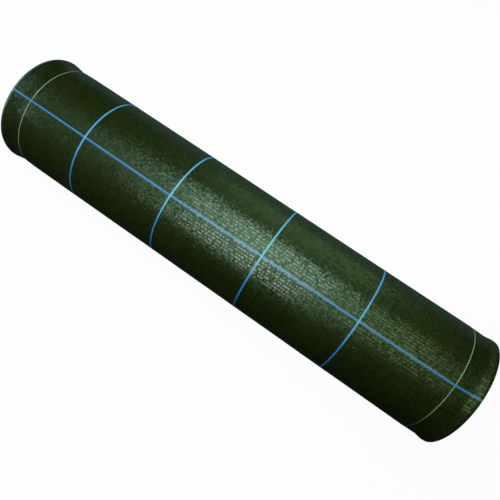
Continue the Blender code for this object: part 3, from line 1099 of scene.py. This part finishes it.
def pale_floor_material():
    """A floor that looks white, and that the roll sees as dull grey-green."""
    material, tree, shader = new_material("pale floor")
    feed_all(tree, shader, {"Base Color": (0.8, 0.8, 0.8, 1), "Roughness": 0.9,
                            "Specular IOR Level": 0.1})
    rays = put(tree, "LightPath").outputs
    seen = calc(tree, "MAXIMUM", rays["Is Camera Ray"], rays["Is Transmission Ray"])
    glow = put(tree, "Emission", (1, 1, 1, 1), 1.0)
    white = put(tree, "MixShader", 0.95, shader.outputs[0], glow.outputs[0])
    grey = spread(tree, parts(tree, object_place(tree))[1], -0.1, 0.6, 0.015, 0.20)
    tinted = put(tree, "CombineColor", product(tree, grey, 0.6), grey,
                 product(tree, grey, 0.9))
    dull = put(tree, "BsdfDiffuse", tinted.outputs[0])
    both = put(tree, "MixShader", seen, dull.outputs[0], white.outputs[0])
    feed(tree, tree.nodes["Material Output"].inputs["Surface"], both.outputs[0])
    return material


def set_world(context):
    """White surroundings for the camera, and a faint green light for the roll."""
    world = bpy.data.worlds.new("pale surroundings")
    context.scene.world = world
    world.use_nodes = True
    tree = world.node_tree
    faint = tree.nodes["Background"]
    feed_all(tree, faint, {"Color": (0.65, 0.90, 0.70, 1),
                           "Strength": stage_settings().world_level})
    white = put(tree, "Background", (1, 1, 1, 1), 1.0)
    both = put(tree, "MixShader", put(tree, "LightPath").outputs["Is Camera Ray"],
               faint.outputs[0], white.outputs[0])
    feed(tree, tree.nodes["World Output"].inputs["Surface"], both.outputs[0])


def set_camera(context):
    """The photo's camera, fitted to the roll's outline and its marker tapes."""
    camera = bpy.data.cameras.new("camera")
    camera.lens = stage_settings().lens
    camera.sensor_width = 36
    camera.clip_start = 0.01
    eye = bpy.data.objects.new("camera", camera)
    eye.matrix_world = placement(
        Vector((0.150, -0.1674, axis_height + 0.8957)), Vector((0.8199, 0.5725, 0)),
        Vector((-0.5585, 0.7998, 0.2202)), Vector((0.1261, -0.1806, 0.9754)))
    context.collection.objects.link(eye)
    context.scene.camera = eye


def set_lamps(context):
    """The lamps of the list, each turned towards a point of the roll's axis."""
    axis = Vector((0, 0, axis_height))
    for name, x, faced, lean, distance, size, beam, colour in LAMPS:
        lamp = bpy.data.lights.new(name, "AREA")
        lamp.shape = "RECTANGLE"
        lamp.size, lamp.size_y = size
        lamp.energy = getattr(stage_settings(), name + "_power")
        lamp.color = colour
        lamp.spread = radians(beam)
        over = Vector((0, sin(radians(lean)), cos(radians(lean)))) * distance
        holder = bpy.data.objects.new(name, lamp)
        holder.matrix_world = aimed(axis + Vector((x, 0, 0)) + over,
                                    axis + Vector((faced, 0, 0)))
        context.collection.objects.link(holder)


class WEEDROLL_OT_stage(bpy.types.Operator):
    """Set the floor, the lamps, the surroundings and the camera"""
    bl_idname = "weed_roll.stage"
    bl_label = "Set the stage"
    bl_options = {"REGISTER", "UNDO"}

    def execute(self, context):
        bpy.ops.object.select_all(action="DESELECT")
        bpy.ops.mesh.primitive_plane_add(size=12)
        floor = context.object
        floor.name = "floor"
        floor.data.materials.append(pale_floor_material())
        set_world(context)
        set_camera(context)
        set_lamps(context)
        context.scene.view_settings.view_transform = "Standard"
        return {"FINISHED"}


STEPS = ("layers", "sheet", "rings", "lines", "core", "closing", "stage")


class WEEDROLL_PT_panel(bpy.types.Panel):
    """Sizes, colours and steps of the roll"""
    bl_idname = "WEEDROLL_PT_panel"
    bl_label = "Weed roll"
    bl_space_type = "VIEW_3D"
    bl_region_type = "UI"
    bl_category = "Weed roll"

    def draw(self, context):
        for group in (sizes(), colours(), stage_settings()):
            box = self.layout.box()
            for key in group.__annotations__:
                box.prop(group, key)
        for step in STEPS:
            self.layout.operator(f"weed_roll.{step}")


CLASSES = (WeedRollSizes, WeedRollColours, WeedRollStage, WEEDROLL_OT_layers,
           WEEDROLL_OT_sheet, WEEDROLL_OT_rings, WEEDROLL_OT_lines, WEEDROLL_OT_core,
           WEEDROLL_OT_closing, WEEDROLL_OT_stage, WEEDROLL_PT_panel)


def register():
    for item in CLASSES:
        bpy.utils.register_class(item)
    bpy.types.Scene.weed_roll_sizes = PointerProperty(type=WeedRollSizes)
    bpy.types.Scene.weed_roll_colours = PointerProperty(type=WeedRollColours)
    bpy.types.Scene.weed_roll_stage = PointerProperty(type=WeedRollStage)


def unregister():
    del bpy.types.Scene.weed_roll_stage
    del bpy.types.Scene.weed_roll_colours
    del bpy.types.Scene.weed_roll_sizes
    for item in reversed(CLASSES):
        bpy.utils.unregister_class(item)


def main():
    register()
    for step in STEPS:
        getattr(bpy.ops.weed_roll, step)()
    bpy.context.view_layer.update()


if __name__ == "__main__":
    main()
